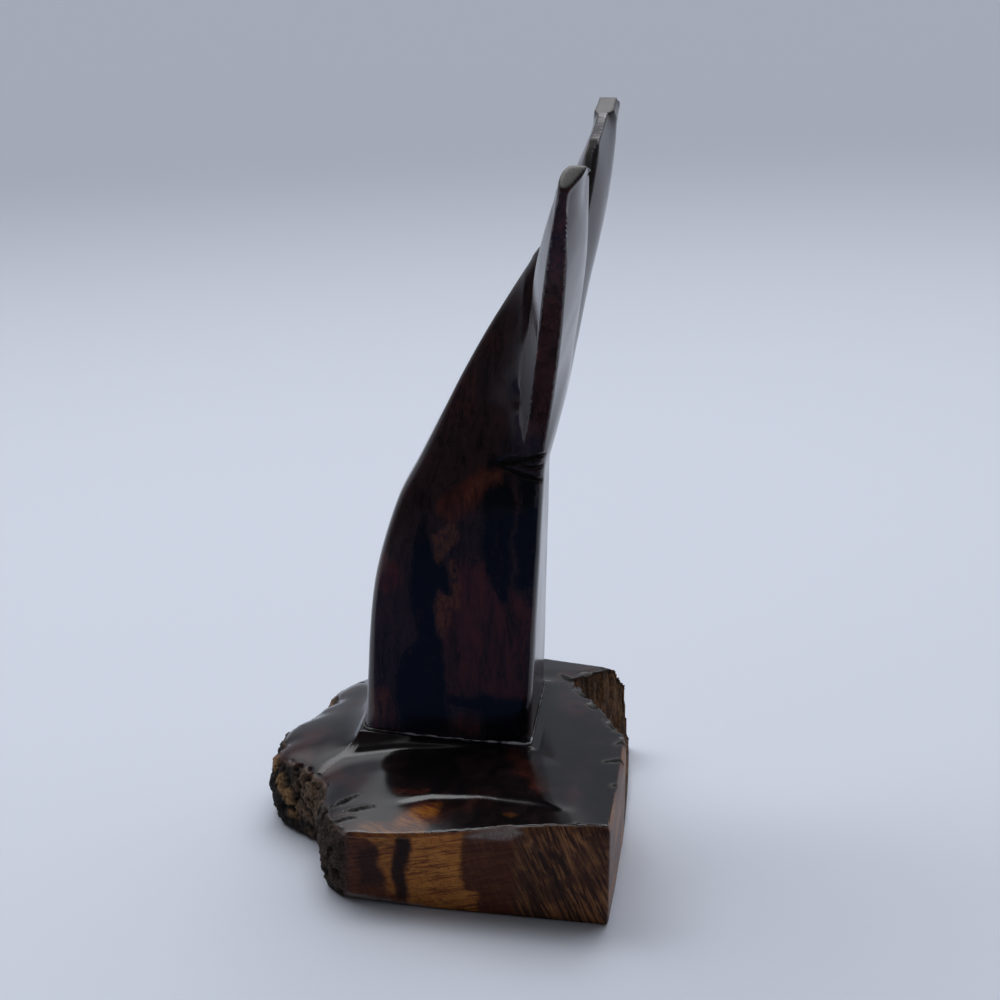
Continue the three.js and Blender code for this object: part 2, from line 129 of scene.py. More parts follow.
class Skin:
    """A fine mesh over one solid, whose points are moved and marked in millimetres."""

    def __init__(self, node, name, voxel):
        work = bmesh.new()
        work.from_mesh(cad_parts[node].data)
        bmesh.ops.remove_doubles(work, verts=work.verts, dist=WELD * MM)
        work.normal_update()
        surface = BVHTree.FromBMesh(work)
        edges = tree_of(crease_points(work))
        mesh = bpy.data.meshes.new(name)
        work.to_mesh(mesh)
        work.free()
        self.piece = bpy.data.objects.new(name, mesh)
        scene.collection.objects.link(self.piece)
        remesh = self.piece.modifiers.new("remesh", "REMESH")
        remesh.mode = "VOXEL"
        remesh.voxel_size = voxel * MM
        seen = self.piece.evaluated_get(bpy.context.evaluated_depsgraph_get())
        self.mesh = bpy.data.meshes.new_from_object(seen)
        self.piece.modifiers.clear()
        self.piece.data = self.mesh
        self.mesh.materials.clear()
        self.mesh.shade_smooth()
        self.pairs = np.empty((len(self.mesh.edges), 2), np.int32)
        self.mesh.edges.foreach_get("vertices", self.pairs.ravel())
        self.read()
        self.settle(surface, edges, SNAP_SHARE * voxel * MM)

    def settle(self, surface, edges, reach):
        """Puts each point on the solid, or on a sharp edge within reach, and keeps its distance from one."""
        self.off_edge = np.empty(len(self.points))
        for k, point in enumerate((self.points * MM).tolist()):
            place = surface.find_nearest(point)[0]
            edge, _, gap = edges.find(place)
            self.points[k] = np.array(edge if gap < reach else place) / MM
            self.off_edge[k] = gap / MM
        self.write()

    def read(self):
        """Takes points and normals from the mesh."""
        flat = np.empty(3 * len(self.mesh.vertices), np.float32)
        self.mesh.vertices.foreach_get("co", flat)
        self.points = flat.reshape(-1, 3).astype(float) / MM
        flat = np.empty(3 * len(self.mesh.vertices), np.float32)
        self.mesh.vertices.foreach_get("normal", flat)
        self.normals = flat.reshape(-1, 3).astype(float)

    def write(self):
        """Puts the points into the mesh and reads it again."""
        self.mesh.vertices.foreach_set("co", (self.points * MM).astype(np.float32).ravel())
        self.mesh.update()
        self.read()

    def mark(self, name, values):
        """Keeps a value from 0 to 1 for each point, for the material to read."""
        layer = self.mesh.attributes.new(name, "FLOAT", "POINT")
        layer.data.foreach_set("value", np.clip(values, 0, 1).astype(np.float32))

    def around(self, values):
        """Mean of each point's neighbours."""
        a, b = self.pairs.T
        size = len(values)
        count = np.bincount(self.pairs.ravel(), minlength=size)
        columns = [
            np.bincount(a, column[b], size) + np.bincount(b, column[a], size)
            for column in values.reshape(size, -1).T
        ]
        return (np.stack(columns, 1) / count[:, None]).reshape(values.shape)

    def spread(self, values, steps):
        """Values blurred over the mesh."""
        for _ in range(steps):
            values = 0.5 * (values + self.around(values))
        return values

    def smooth(self, steps, weight=1.0):
        """Moves points towards their neighbours' mean, each by its weight."""
        weight = np.broadcast_to(np.asarray(weight, float), len(self.points))[:, None]
        for _ in range(steps):
            self.points += RELAX * weight * (self.around(self.points) - self.points)
        self.write()


def crevice(points, start, end, width, depth, swell=0.5):
    """How deep a pointed crack between two points cuts; it is widest at the swell share of its length."""
    share, off = along(points, start, end)
    half = width * np.where(share < swell, share / swell, (1 - share) / (1 - swell))
    return depth * np.clip(1 - (off / np.maximum(half, 1e-3)) ** 2, 0, 1)


# The tail, smooth between its sharp edges
tail = Skin("whale_tail", "tail_carving", VOXEL)
tail.smooth(45, ramp(tail.off_edge, SOFT_FROM, SOFT_FULL))
tail.smooth(1, EDGE_EASE)

# Hollowed flanks leave a sharp keel below the flukes; x, y and z follow the points until they are written
FLUKE_ROOT = 16.4  # Y of the flukes' front at their root
KEEL_HOLLOW = 0.6  # share of its width that the keel loses at its front
x, y, z = tail.points.T
levels = np.arange(80, 146, 3.0)
front = np.interp(z, levels, [y[np.abs(z - level) < 2].min() for level in levels])
flank = np.clip((FLUKE_ROOT - y) / np.maximum(FLUKE_ROOT - front, 1), 0, 1)
tail.points[:, 0] *= 1 - KEEL_HOLLOW * flank * ramp(z, 86, 102) * (1 - ramp(z, 128, 142))

# The notch's edges are cut away behind, and so is the near tip
NOTCH_REACH, NOTCH_HEIGHT = 22.7, 155  # X and Z at the outer end of the notch's edge
NOTCH_FALL = 0.79  # how far the edge goes in for each millimetre down
NOTCH_BAND = 2.4  # width of the cut
NOTCH_DEPTH = 0.9  # its depth for each millimetre of width
TIP_TRIM = 0.9
behind = ramp(tail.normals[:, 1], 0.5, 0.8)
inward = NOTCH_REACH - NOTCH_FALL * (NOTCH_HEIGHT - z) - np.abs(x)
notch_cut = behind * ramp(inward, -0.2, 0.2) * ramp(z, 137, 141)
tail.points[:, 1] -= notch_cut * NOTCH_DEPTH * np.clip(inward, 0, NOTCH_BAND)
tail.points[:, 1] -= TIP_TRIM * behind * ramp(x, 30, 46) * ramp(z, 140, 156)
tail.write()

# The near tip is rounded by sanding, which also leaves a slight wobble all over
WOBBLE, RIPPLE = 0.1, 0.035
tail.smooth(10, ramp(x, 44, 48) * ramp(z, 150, 154))
above = ramp(tail.points[:, 2], FOOT + 0.8, FOOT + 6)
wave = WOBBLE * grain(tail.points, 19, 2) + RIPPLE * grain(tail.points, 6, 1, 2)
tail.points += (wave * above)[:, None] * tail.normals

# Cracks at the knot under the near fluke: both ends as Y and Z, half width, depth, share where it is widest
KNOT = [
    ((11, 88.6), (23.8, 91.2), 1.3, 1.0, 0.22),
    ((11.4, 88.2), (23, 84.6), 0.9, 0.9, 0.55),
    ((14.5, 88.2), (23.6, 88.4), 0.6, 0.6, 0.5),
]
bent = tail.points[:, 1:] + 0.3 * grain(tail.points, 3, 2, 3)[:, None]
knot = np.maximum.reduce([crevice(bent, *crack) for crack in KNOT])
knot *= ramp(tail.points[:, 0], 3, 6) * ramp(tail.normals[:, 0], 0.2, 0.5)
tail.points -= knot[:, None] * tail.normals
tail.write()

low, high = (np.array(corner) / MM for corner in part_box("whale_tail"))
tail.points = np.clip(tail.points, low, high)
tail.write()

# The tail's figure, as rows of height, least Y and greatest Y
INK_BANDS = [
    [(76, -5.2, -4.6), (70, -7, -3), (66, -7.7, -1.5), (63, -8.2, 0.8), (58.4, -8.2, 0.8), (57.8, -8.2, -2),
     (48, -6.7, -1.3), (42, -11, -0.6), (34, -11.4, 0.2), (25, -11.2, 0.5)],
    [(90, 9.5, 13), (80, 8.5, 15), (70, 8, 15), (62, 10, 15), (57.5, 12.5, 14.5)],
    [(86, 16.4, 20), (75, 15.8, 20.6), (61, 16.4, 20)],
    [(34.4, 0, 19), (32.6, 1, 19), (31.4, 9, 19), (24, 9.6, 18)],
]
AMBER_PATCHES = [
    [(74.8, 0.1, 1.8), (71.5, -3.1, 2.4), (69.5, -2.7, 1.2), (67.4, -2.6, -0.6), (65.2, -2.3, -1.9)],
    [(67.4, 1.6, 2.4), (64, 1.2, 2.9), (58, 1.2, 2.9), (56.4, 1.2, 3.2)],
    [(58.4, -1.7, -1.2), (57.2, -1.6, 3), (55, -1.9, 2), (52, -1.7, 0.8), (49, -1.4, 0)],
]
RUDDY_PANEL = [(67, 2.4, 9), (63, 1, 14), (56, -2, 20), (46, -1.2, 19), (35, 0.2, 19), (34, 1, 18)]
ORANGE_STREAK = (0.8, 78), (11, 86)  # its ends as Y and Z
p, n = tail.points, tail.normals
q = warp(p, (5, 5, 8), 0.9, 4)
ink = np.maximum.reduce([within(q, band, 1.7) for band in INK_BANDS])
orange = along(q[:, 1:], *ORANGE_STREAK)[1]
ruddy = np.maximum.reduce([
    0.75 * within(q, RUDDY_PANEL, 3),
    0.75 * spot(q, (0, -15.5, 30), (0, 5, 7)),
    0.6 * spot(q, (0, -14, 62), (0, 5, 6)),
    0.5 * spot(q, (0, 5.5, 28), (0, 4, 4)),
    1 - ramp(orange, 1.2, 4.5),
    0.3 * ramp(grain(q, (16, 16, 40), 3, 7), 0.0, 0.5) * ramp(p[:, 2], 92, 100),
    0.2 * ramp(np.abs(n[:, 0]), 0.5, 0.7) * ramp(p[:, 1], 17, 18) * ramp(p[:, 2], 95, 100),
])
amber = np.maximum.reduce([within(q, patch, 1.1) for patch in AMBER_PATCHES])
amber = np.maximum(amber, 0.6 * (1 - ramp(orange, 0.4, 3)) * ramp(q[:, 1], 2, 7))
amber = np.maximum(amber, 0.4 * spot(q, (0, -16, 30), (0, 4, 5)))

# Bare cuts at the tips, whose pale grey is also a painted reflection of the sky; the dark notch, its darkness
# painted shade; and the dull hollow at the fluke's root, coloured pale grey as a painted reflection
tips = ramp(n[:, 2], 0.5, 0.62) * ramp(p[:, 2], 155, 156.5) * ramp(np.abs(p[:, 0]), 38.5, 40)
notch = ramp(p[:, 2], 128, 132) * ramp(-np.abs(p[:, 0]), -26, -23) * ramp(n[:, 2], 0.35, 0.55)
notch *= 1 - ramp(np.abs(n[:, 1]), 0.4, 0.6)
tail.mark("ink", ink * (1 - amber))
tail.mark("ruddy", ruddy)
tail.mark("amber", amber)
# Painted shade: this mark turns the knot's cracks, the notch and the cut behind it near black and dull
tail.mark("crack", np.maximum.reduce([ramp(knot, 0.04, 0.3), notch, notch_cut]))
# Painted reflection: a pale grey band in the crease at the fluke's root, and on the far tip, stands for the
# sheen of the bevel there; the mark also dulls the polish
root_sheen = ramp(-n[:, 1], 0.6, 0.85) * ramp(p[:, 1], 16.2, 17) * (1 - ramp(np.abs(p[:, 0]), 24, 34))
root_sheen *= ramp(p[:, 2], 94, 100) * (1 - ramp(p[:, 2], 116, 128))
far_tip = tips * (p[:, 0] < 0)
tail.mark("painted_sheen", np.maximum(root_sheen, far_tip))
# Bare wood at the tips; its pale grey is also a painted reflection of the bright sky above them
tail.mark("bare_tip_sheen", tips - 0.65 * far_tip)

# The base: polished top, sawn faces, natural (live) edge and split corner; p, x, y and z follow its points
LIVE_FAR, LIVE_NEAR = (-36.5, 10), (49, -16.5)  # line that parts the natural edge from the sawn faces
SPLIT_WALLS = (0.69, 0.69, 0.2), (-0.41, 0.9, 0.13)  # which way the split's walls face
base = Skin("base", "burl_base", VOXEL)
base.smooth(30, ramp(base.off_edge, SOFT_FROM, SOFT_FULL))
base.smooth(1, EDGE_EASE)
p, n = base.points, base.normals
x, y, z = p.T
wall = (1 - ramp(n[:, 2], 0.45, 0.8)) * ramp(n[:, 2], -0.8, -0.45)
live_slope = (LIVE_NEAR[1] - LIVE_FAR[1]) / (LIVE_NEAR[0] - LIVE_FAR[0])
live_line = LIVE_FAR[1] + (x - LIVE_FAR[0]) * live_slope
off_foot = np.maximum(np.abs(x) - FOOT_BACK_HALF, np.abs(y) - FOOT_BACK)
live = wall * ramp(live_line - y, -1.5, 2.5) * ramp(off_foot, 2, 5)
in_split = ramp(y, 24.5, 26) * ramp(13.5 - x, 0, 1) * ramp(23.4 - z, 0, 0.6)
split = in_split * np.maximum.reduce([ramp(n @ facing, 0.8, 0.93) for facing in SPLIT_WALLS])
split = np.maximum(split, in_split * ramp(n[:, 2], 0.6, 0.9) * ramp(6 - z, 0, 2))
split *= ramp(np.hypot(x, y), 27, 30)


def distance_to(mask):
    """Distance of each of the base's points from the nearest point in a mask."""
    tree = tree_of(base.points[mask > 0.5])
    return np.array([tree.find(q)[2] for q in base.points])


near_live = distance_to(live)
near_split = distance_to(split)
top = ramp(n[:, 2], 0.45, 0.8) * ramp(z, 8, 12)

# How far each point falls in: the bark's relief, chipped rims, torn fibres and a dish round the foot
CHIP_DEPTH = 0.9
STRAND_DEPTH = 1.3
DISH_DEPTH = 0.3
CRACK_DEPTH = 0.55  # share of the depth given for a crack
lumps = grain(p, 6, 2, 11)
valleys = 1 - ramp(np.abs(grain(p, (3.6, 3.6, 4.8), 2, 19)), 0, 0.16)
pits = ramp(grain(p, 2.8, 2, 12), 0.16, 0.5)
fissures = 1 - ramp(np.abs(grain(p, (2.2, 2.2, 8), 3, 42)), 0, 0.14)
rough = 0.4 * lumps + 0.35 * valleys + 0.65 * pits + 0.4 * fissures + 0.3 * grain(p, 1.2, 2, 13)
shards = np.floor(2.5 * grain(p, (3, 3, 5), 2, 43)) / 2.5
fall = live * (1.15 * rough + 0.6 * shards - 0.2) * ramp(z, 0.3, 2)
chipped = ramp(grain(p, (2.6, 2.6, 6), 4, 14), 0.05, 0.4) * (1 - ramp(near_live, 0.5, 1.9)) * top
fall += CHIP_DEPTH * chipped
fibre = np.stack([(x - y) * 0.7 + 0.3 * z, np.zeros(len(p)), z], 1)
strand = 0.5 + 0.5 * grain(fibre, (1.5, 1, 22), 3, 15)
fall += STRAND_DEPTH * split * strand * ramp(z, 0.3, 2)
rim_chips = ramp(grain(p, 2.6, 2, 16), 0.05, 0.35) * (1 - ramp(near_split, 0.5, 2.6)) * top
fall += CHIP_DEPTH * rim_chips
fall += DISH_DEPTH * top * ramp(off_foot, 0.4, 2) * (1 - ramp(off_foot, 3, 10))

# Cracks in the top: both ends as X and Y, half width, depth, share where it is widest
CRACKS = [
    ((38.8, -21.6), (34.6, -16.2), 0.7, 1.5, 0.4),
    ((41.2, -18.6), (39, -11.2), 0.5, 1.1, 0.35),
    ((44.5, -21), (42.6, -14.5), 0.45, 1.0, 0.3),
    ((-13.4, 27.4), (-8.6, 31.8), 0.55, 0.9, 0.7),
    ((-6, 30.6), (-2.4, 34.6), 0.5, 0.9, 0.7),
    ((23.5, 36.2), (20.5, 42), 0.6, 1.0, 0.75),
    ((33.6, 38), (32.8, 42), 0.45, 0.9, 0.7),
    ((15.2, 38), (12, 42), 0.5, 0.9, 0.7),
    ((-24.6, 22.6), (-19, 26.6), 0.9, 1.0, 0.6),
    ((-22, -27), (-27, -33), 0.5, 1.3, 0.7),
    ((2, -37), (-2, -42), 0.45, 1.2, 0.7),
    ((12.6, -38.4), (8.4, -43), 0.45, 1.2, 0.7),
]
flat = p[:, :2] + 0.35 * np.stack([grain(p, 2.2, 2, 17), grain(p, 2.2, 2, 18)], 1)
cracked = np.maximum.reduce([crevice(flat, *crack) for crack in CRACKS]) * top
fall += CRACK_DEPTH * cracked

# The fold across the top where the flat by the tail falls to the near edge, as Y and X along it
FOLD_LIFT = 0.34
FOLD = [(-8, 36.8), (0, 35.3), (11.5, 37), (18, 39.3), (24.7, 41.4), (30, 43.5)]
fold_x = np.interp(y, *zip(*FOLD))
before = x - fold_x
held = ramp(y, -13, -2) * (1 - ramp(y, 25, 34)) * top
lift = FOLD_LIFT * held * np.where(before < 0, ramp(before, -9, 0), 1 - ramp(before, 0, 2.4))
base.points += lift[:, None] * (0, 0, 1)
base.points -= fall[:, None] * n

# Planed chamfers at the top and lower edges of the near sawn face, as Y and width down the face
TOP_CHAMFER = [
    (-17, 0.5), (-3, 0.8), (8, 0.9), (11, 1.6), (15, 2.1),
    (19, 2.6), (21, 1.6), (24, 0.8), (28, 0.5), (41, 0.4),
]
LOW_CHAMFER = [(-17, 2.2), (-12, 1.8), (-4, 1), (6, 0.3), (10, 0)]
TOP_LEAN, LOW_LEAN = 0.45, -0.7  # how far each leans in for each millimetre up
CHAMFER_WAVE = 0.12
FACE_REACH, FACE_SIDE = 51.3, 40.5  # X and Y at an end of the near face
FACE_SKEW = math.radians(2.3)  # how far off square it is
LOW_END, TOP_RISE = 16.8, 7  # height of its top edge at the natural edge, and the rise from there
face_x = FACE_REACH - (FACE_SIDE - y) * math.tan(FACE_SKEW)
edge_z = LOW_END + TOP_RISE * ramp(y, -16.5, 41.7)
planed_and_sheen = np.zeros(len(p))
for table, lean, height in ((TOP_CHAMFER, TOP_LEAN, edge_z), (LOW_CHAMFER, LOW_LEAN, 0 * z)):
    width = np.interp(y, *zip(*table)) + CHAMFER_WAVE * grain(p, 3, 2, 35)
    size = math.hypot(1, lean)
    out = (x - face_x + lean * (z - height) + abs(lean) * width) / size
    out = np.where(x > 45, out, -1)
    planed_and_sheen = np.maximum(planed_and_sheen, ramp(out, -0.15, 0.1) * ramp(width, 0.2, 0.6))
    cut = np.maximum(out, 0) / size
    base.points -= np.stack([cut, 0 * cut, lean * cut], 1)
low, high = (np.array(corner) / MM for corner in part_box("base"))
base.points = np.clip(base.points, low, high)
base.write()

# The near face's zones: how strong, how soft, and rows of height, least Y and greatest Y
GOLD_ZONES = [
    (1, 0.7, [(20, -2.2, 8.6), (14, -2.4, 8.4), (6, -3.2, 8.6), (5, -3.4, 12), (-1, -3, 12.5)]),
    (0.8, 0.6, [(14.6, -9, -6.6), (10, -9.6, -6), (7.6, -7.8, -6), (3.4, -8, -6.4)]),
    (0.7, 0.6, [(18.4, -11, -5.4), (16.8, -11.8, -5), (15, -10, -6)]),
    (0.7, 0.8, [(3.4, 30, 34), (0, 28, 36)]),
]
DARK_ZONES = [
    (1, 0.6, [(19, -5.6, -2.4), (12, -6, -2.6), (3, -5.6, -3.4)]),
    (0.8, 0.8, [(14.4, -13.8, -9.6), (4, -13.8, -8.4)]),
]
DARK_STREAKS = [((24.6, 18), (30.6, 6.5), 0.5, 1.5), ((28.6, 17), (31.5, 12), 0.4, 1.2)]
STRIPES_FROM, STRIPES_FULL = 19.4, 21  # Y where the slanted stripes start and are full
near_face = ramp(n[:, 0], 0.6, 0.85) * ramp(x, 44, 46)
sawn = wall * (1 - live) * (1 - split) * ramp(off_foot, 2, 5)
under = ramp(-n[:, 2], 0.5, 0.8) * (1 - ramp(z, 1, 2))
q = warp(warp(p, 6, 1.1, 21), 1.8, 0.45, 41)
stripes = near_face * ramp(q[:, 1], STRIPES_FROM, STRIPES_FULL)
gold_face = np.maximum.reduce([share * within(q, zone, soft) for share, soft, zone in GOLD_ZONES])
dark_face = [share * within(q, zone, soft) for share, soft, zone in DARK_ZONES]
dark_face += [0.7 * (1 - ramp(along(q[:, 1:], a, b)[1], core, edge)) for a, b, core, edge in DARK_STREAKS]
streak_dark = near_face * np.maximum.reduce(dark_face)

# The gold patch on the top, which runs over the near edge, and gold on the other sawn faces
PATCH = (43, -1.6)  # its middle
PATCH_RUN = np.array([-0.52, 0.86])  # its long direction
SPILL = [(50, -3.6, 0.4), (46, -4.4, 1), (44, -5, 1.6)]  # rows of X, least Y and greatest Y
patch_run = (q[:, :2] - PATCH) @ PATCH_RUN
patch_off = (q[:, :2] - PATCH) @ (PATCH_RUN[1], -PATCH_RUN[0])
patch_rag = patch_off + 0.7 * grain(p, (2.2, 2.2, 9), 2, 36)
patch = 1 - ramp(np.hypot(patch_run / 7, patch_rag / 4), 0.4, 1)
halo = 1 - ramp(np.hypot(patch_run / 11, patch_off / 6.5), 0.4, 1)
gold = np.maximum.reduce([
    near_face * gold_face,
    top * patch,
    0.6 * top * within(np.stack([0 * x, q[:, 1], q[:, 0]], 1), SPILL, 0.8),
    0.55 * top * spot(q, (48, -9, 0), (4.5, 7, 0)),
    0.2 * top * spot(q, (45.8, 18.7, 0), (1.3, 1.7, 0)),
    sawn * (1 - near_face) * ramp(grain(q, (14, 14, 9), 3, 24), -0.25, 0.35),
    0.7 * under * ramp(grain(q, (24, 9, 9), 3, 25), -0.1, 0.5),
])

# Red wood round the patch and in streaks on the top, with ends as X and Y
EMBER = (21, 16.5), (36.5, 25)
GLOW = (34.6, -8), (34, -1)
ember_share, ember_off = along(q[:, :2], *EMBER)
ruddy = np.maximum.reduce([
    near_face * (1 - gold),
    top * halo,
    top * (0.45 + 0.5 * ember_share) * (1 - ramp(ember_off, 0.8, 3.2)),
    0.35 * top * spot(q, (38, 29, 0), (5, 6, 0)),
    0.9 * top * (1 - ramp(along(q[:, :2], *GLOW)[1], 0.5, 2)),
    0.45 * top * ramp(grain(q, 15, 3, 26), 0.15, 0.6),
])
right_face = sawn * ramp(n[:, 1], 0.7, 0.9) * ramp(y, 36, 39)
# The pale grey of the chamfers and the right face is partly plane-cut wood and partly a painted sheen
base.mark("planed_and_sheen", base.spread(np.maximum(planed_and_sheen, 0.8 * right_face), 1))
base.mark("streak_dark", streak_dark)
base.mark("gold", gold)
base.mark("stripes", stripes)
base.mark("ruddy", ruddy)
base.mark("sawn", np.maximum(sawn, under))
open_crack = np.clip(2.5 * base.spread(ramp(cracked, 0.005, 0.1), 3), 0, 1)
raw = np.maximum.reduce([live, split, chipped, rim_chips, open_crack])
base.mark("raw", base.spread(raw, 1))
# Painted shade: this mark turns the open cracks and the chips near the rims near black
base.mark("crack", np.maximum.reduce([open_crack, ramp(chipped, 0.4, 0.9), ramp(rim_chips, 0.4, 0.9)]))
# Painted shade: the deepest hollows of the bark and the torn grooves of the split are marked to go near black
torn = 0.7 * split * ramp(strand, 0.58, 0.85)
base.mark("hollow", np.maximum(live * ramp(rough + 0.5 * shards, 0.1, 0.6), torn))
base.mark("split", split)

# Crusts and the pale strip of sapwood on the natural edge
SAP_LINE = (12, -42, 16), (19.6, -38.4, 11.6), (22, -35.2, 6)
crust = 0.95 * spot(q, (25, -31, 11.5), (7, 7, 8)) + 0.6 * ramp(grain(q, 9, 2, 27), 0.1, 0.5)
base.mark("crust", live * np.maximum(crust * (1 - ramp(x, 34, 40)), 0.22 * ramp(x, 34, 42)))
off_sap = np.minimum(along(q, *SAP_LINE[:2])[1], along(q, *SAP_LINE[1:])[1])
far_sap = 0.6 * ramp(grain(q, (12, 12, 7), 2, 28), 0.3, 0.55) * ramp(8 - x, 0, 6)
base.mark("honey", live * np.maximum(1 - ramp(off_sap, 0.8, 2.8), far_sap))

# A ragged bead of finish in the seam round the foot
FRONT_CORNER, BACK_CORNER = 3.2, 1.5  # how far the foot's corners are rounded
CORNER_STEPS = 8
BEAD_RINGS, BEAD_SIDES = 560, 10
BEAD_RADIUS, BEAD_LEAST = 0.3, 0.1
BEAD_OUT = 0.12  # how far its middle lies outside the foot
BEAD_FLAT = 0.8  # its width as a share of its height


def foot_outline(count):
    """Points and outward directions round the foot, evenly spaced."""
    corners = [
        (FOOT_FRONT_HALF, FOOT_FRONT), (FOOT_BACK_HALF, FOOT_BACK),
        (-FOOT_BACK_HALF, FOOT_BACK), (-FOOT_FRONT_HALF, FOOT_FRONT),
    ]
    line = []
    for k, corner in enumerate(corners):
        here = Vector(corner)
        before = (Vector(corners[k - 1]) - here).normalized()
        after = (Vector(corners[(k + 1) % 4]) - here).normalized()
        size = FRONT_CORNER if k in (0, 3) else BACK_CORNER
        start, end = here + size * before, here + size * after
        for s in range(CORNER_STEPS + 1):
            t = s / CORNER_STEPS
            line.append((1 - t) ** 2 * start + 2 * t * (1 - t) * here + t * t * end)
    line.append(line[0])
    line = np.array([tuple(v) for v in line])
    steps = np.concatenate([[0], np.cumsum(np.linalg.norm(np.diff(line, axis=0), axis=1))])
    at = np.linspace(0, steps[-1], count, endpoint=False)
    spaced = np.stack([np.interp(at, steps, line[:, k]) for k in (0, 1)], 1)
    run = np.roll(spaced, -1, 0) - np.roll(spaced, 1, 0)
    run /= np.linalg.norm(run, axis=1)[:, None]
    return spaced, np.stack([run[:, 1], -run[:, 0]], 1)


def make_bead():
    """A closed tube along the seam, thicker and thinner as it goes."""
    spots, outward = foot_outline(BEAD_RINGS)
    flat_spots = np.column_stack([spots, np.zeros(BEAD_RINGS)])
    thick = BEAD_RADIUS + 0.2 * grain(flat_spots, 2.4, 3, 31) + 0.12 * grain(flat_spots, 9, 1, 32)
    thick = np.maximum(thick, BEAD_LEAST)
    middle = 0.5 * (SEAT + FOOT) + 0.08 * grain(flat_spots, 3.5, 2, 33)
    work = bmesh.new()
    loops = []
    for k in range(BEAD_RINGS):
        loop = []
        for s in range(BEAD_SIDES):
            turn = 2 * math.pi * s / BEAD_SIDES
            reach = BEAD_OUT + thick[k] * BEAD_FLAT * math.cos(turn)
            place = spots[k] + reach * outward[k]
            height = middle[k] + thick[k] * math.sin(turn)
            loop.append(work.verts.new((place[0] * MM, place[1] * MM, height * MM)))
        loops.append(loop)
    for k in range(BEAD_RINGS):
        here, there = loops[k], loops[(k + 1) % BEAD_RINGS]
        for s in range(BEAD_SIDES):
            e = (s + 1) % BEAD_SIDES
            work.faces.new((here[s], there[s], there[e], here[e]))
    bmesh.ops.recalc_face_normals(work, faces=work.faces)
    mesh = bpy.data.meshes.new("finish_bead")
    work.to_mesh(mesh)
    work.free()
    mesh.shade_smooth()
    piece = bpy.data.objects.new("finish_bead", mesh)
    scene.collection.objects.link(piece)
    return piece


bead = make_bead()


# Materials
def add(tree, kind, values=None, **settings):
    """A node with its settings, and constants or links on its inputs."""
    made = tree.nodes.new(kind)
    for key, value in settings.items():
        setattr(made, key, value)
    for key, value in (values or {}).items():
        if isinstance(value, bpy.types.NodeSocket):
            tree.links.new(value, made.inputs[key])
        else:
            made.inputs[key].default_value = value
    return made


def mark(tree, name):
    """A value kept for each point of the mesh."""
    return add(tree, "ShaderNodeAttribute", attribute_name=name).outputs["Fac"]


def math_node(tree, operation, a, b):
    return add(tree, "ShaderNodeMath", {0: a, 1: b}, operation=operation).outputs[0]


def times(tree, a, b):
    return math_node(tree, "MULTIPLY", a, b)


def most(tree, a, b):
    return math_node(tree, "MAXIMUM", a, b)


def blend(tree, factor, a, b):
    """One number laid over another."""
    return add(tree, "ShaderNodeMix", {"Factor": factor, "A": a, "B": b}).outputs[0]


def step(tree, value, low, high, start=0.0, end=1.0):
    """A smooth step of a value from low to high, drawn out from start to end."""
    return add(tree, "ShaderNodeMapRange", {
        "Value": value, "From Min": low, "From Max": high, "To Min": start, "To Max": end,
    }, interpolation_type="SMOOTHSTEP").outputs["Result"]


def over(tree, factor, under_colour, colour):
    """One colour laid over another."""
    made = add(tree, "ShaderNodeMix", {"Factor": factor}, data_type="RGBA")
    for index, value in ((6, under_colour), (7, colour)):
        if isinstance(value, bpy.types.NodeSocket):
            tree.links.new(value, made.inputs[index])
        else:
            made.inputs[index].default_value = (*value, 1)
    return made.outputs[2]


def fleck(tree, place, size, detail=4, rough=0.55, turn=(0, 0, 0), warp=0.0):
    """Noise with lumps of the given size in millimetres, turned by the given angles."""
    mapped = add(tree, "ShaderNodeMapping", {
        "Vector": place, "Rotation": turn, "Scale": tuple(MM * s for s in size),
    }, vector_type="TEXTURE")
    return add(tree, "ShaderNodeTexNoise", {
        "Vector": mapped.outputs[0], "Scale": 1.0, "Detail": detail, "Roughness": rough, "Distortion": warp,
    }).outputs[0]


def wood(name, specular=0.3):
    """A material with its tree, its place in the part and its shader."""
    material = bpy.data.materials.new(name)
    material.use_nodes = True
    tree = material.node_tree
    tree.nodes.clear()
    place = add(tree, "ShaderNodeTexCoord").outputs["Object"]
    shader = add(tree, "ShaderNodeBsdfPrincipled", {"Specular IOR Level": specular})
    output = add(tree, "ShaderNodeOutputMaterial", {"Surface": shader.outputs[0]})
    output.is_active_output = True
    return material, tree, place, shader


BLACK = (0.0052, 0.0042, 0.0050)
DARK = (0.032, 0.0165, 0.0185)
RUDDY = (0.098, 0.0215, 0.0130)
AMBER = (0.165, 0.055, 0.021)
INK = (0.0012, 0.0034, 0.0058)
# Painted reflection: this pale grey goes at the fluke's root and on the far tip
SHEEN_GREY = (0.090, 0.088, 0.095)
# Pale grey for the bare tips, also a painted reflection of the sky
DRAB, DRAB_DARK = (0.22, 0.205, 0.190), (0.16, 0.148, 0.140)
# Near black for dark pores, and painted shade in cracks, chips, the notch and hollows
PORE_AND_SHADE_BLACK = (0.006, 0.005, 0.0045)
HONEY = (0.32, 0.112, 0.015)
BROWN, BROWN_DARK, BROWN_STREAK = (0.140, 0.038, 0.0140), (0.080, 0.0175, 0.0075), (0.21, 0.068, 0.024)
GOLD, GOLD_LIGHT, GOLD_DARK = (0.48, 0.165, 0.030), (0.60, 0.235, 0.047), (0.22, 0.060, 0.014)
CURL = (0.050, 0.0145, 0.0070)
SLANT, SLANT_DARK = (0.34, 0.140, 0.050), (0.048, 0.0150, 0.0080)
SLANT_SWIRL, SLANT_CLOUD = (0.052, 0.0170, 0.0090), (0.085, 0.0300, 0.0130)
STREAK = (0.022, 0.010, 0.0085)
